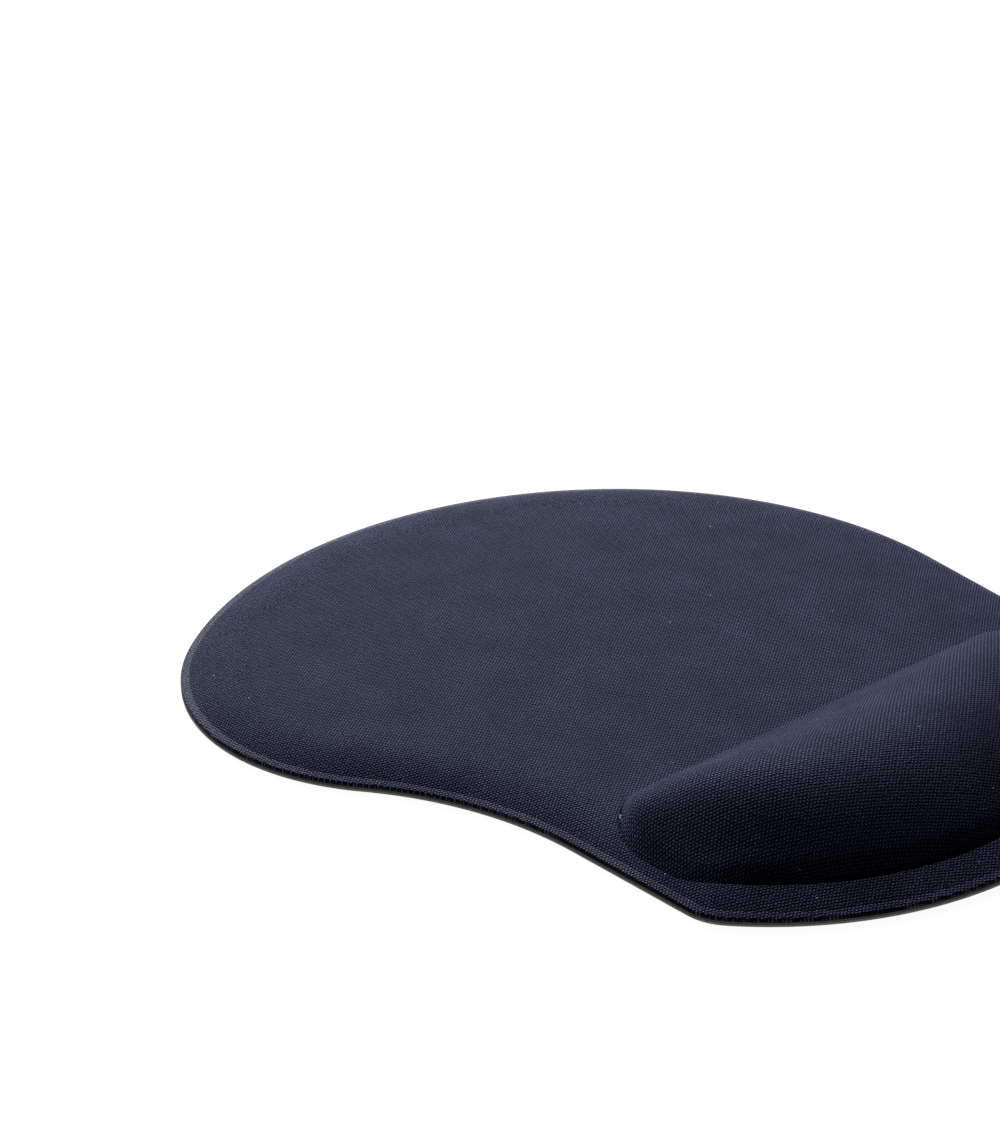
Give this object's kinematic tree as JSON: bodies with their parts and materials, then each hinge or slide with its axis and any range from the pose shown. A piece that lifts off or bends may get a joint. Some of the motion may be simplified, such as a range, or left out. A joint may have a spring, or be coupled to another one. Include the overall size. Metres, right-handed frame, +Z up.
{
  "type": "mouse pad with wrist rest",
  "caption": "Rounded mouse pad with a built-in padded gel wrist rest, covered in dark navy stretch knit over a foam mat and a non-slip base.",
  "frame": {"origin": "middle of the pad's plan, on the surface that it rests on", "axes": "+Z up, +Y away from the user, +X to the user's right"},
  "size_m": [0.218, 0.2434, 0.0191],
  "materials": {
    "knit": "fine stretch knit with a soft sheen, dark navy",
    "bonding_film": "thin dark hot-melt film",
    "foam": "fine closed-cell foam, grey-beige",
    "gel_film": "smooth clear film",
    "gel": "soft translucent gel",
    "base": "matt, with a fine grid of grip bumps, light beige"
  },
  "bodies": {
    "root": {"non_slip_base": "base", "base_bonding_film": "bonding_film", "foam_mat": "foam", "gel_bottom_film": "gel_film", "gel_core": "gel", "gel_top_film": "gel_film", "cover_bonding_film": "bonding_film", "knit_cover": "knit"}
  },
  "joints": []
}
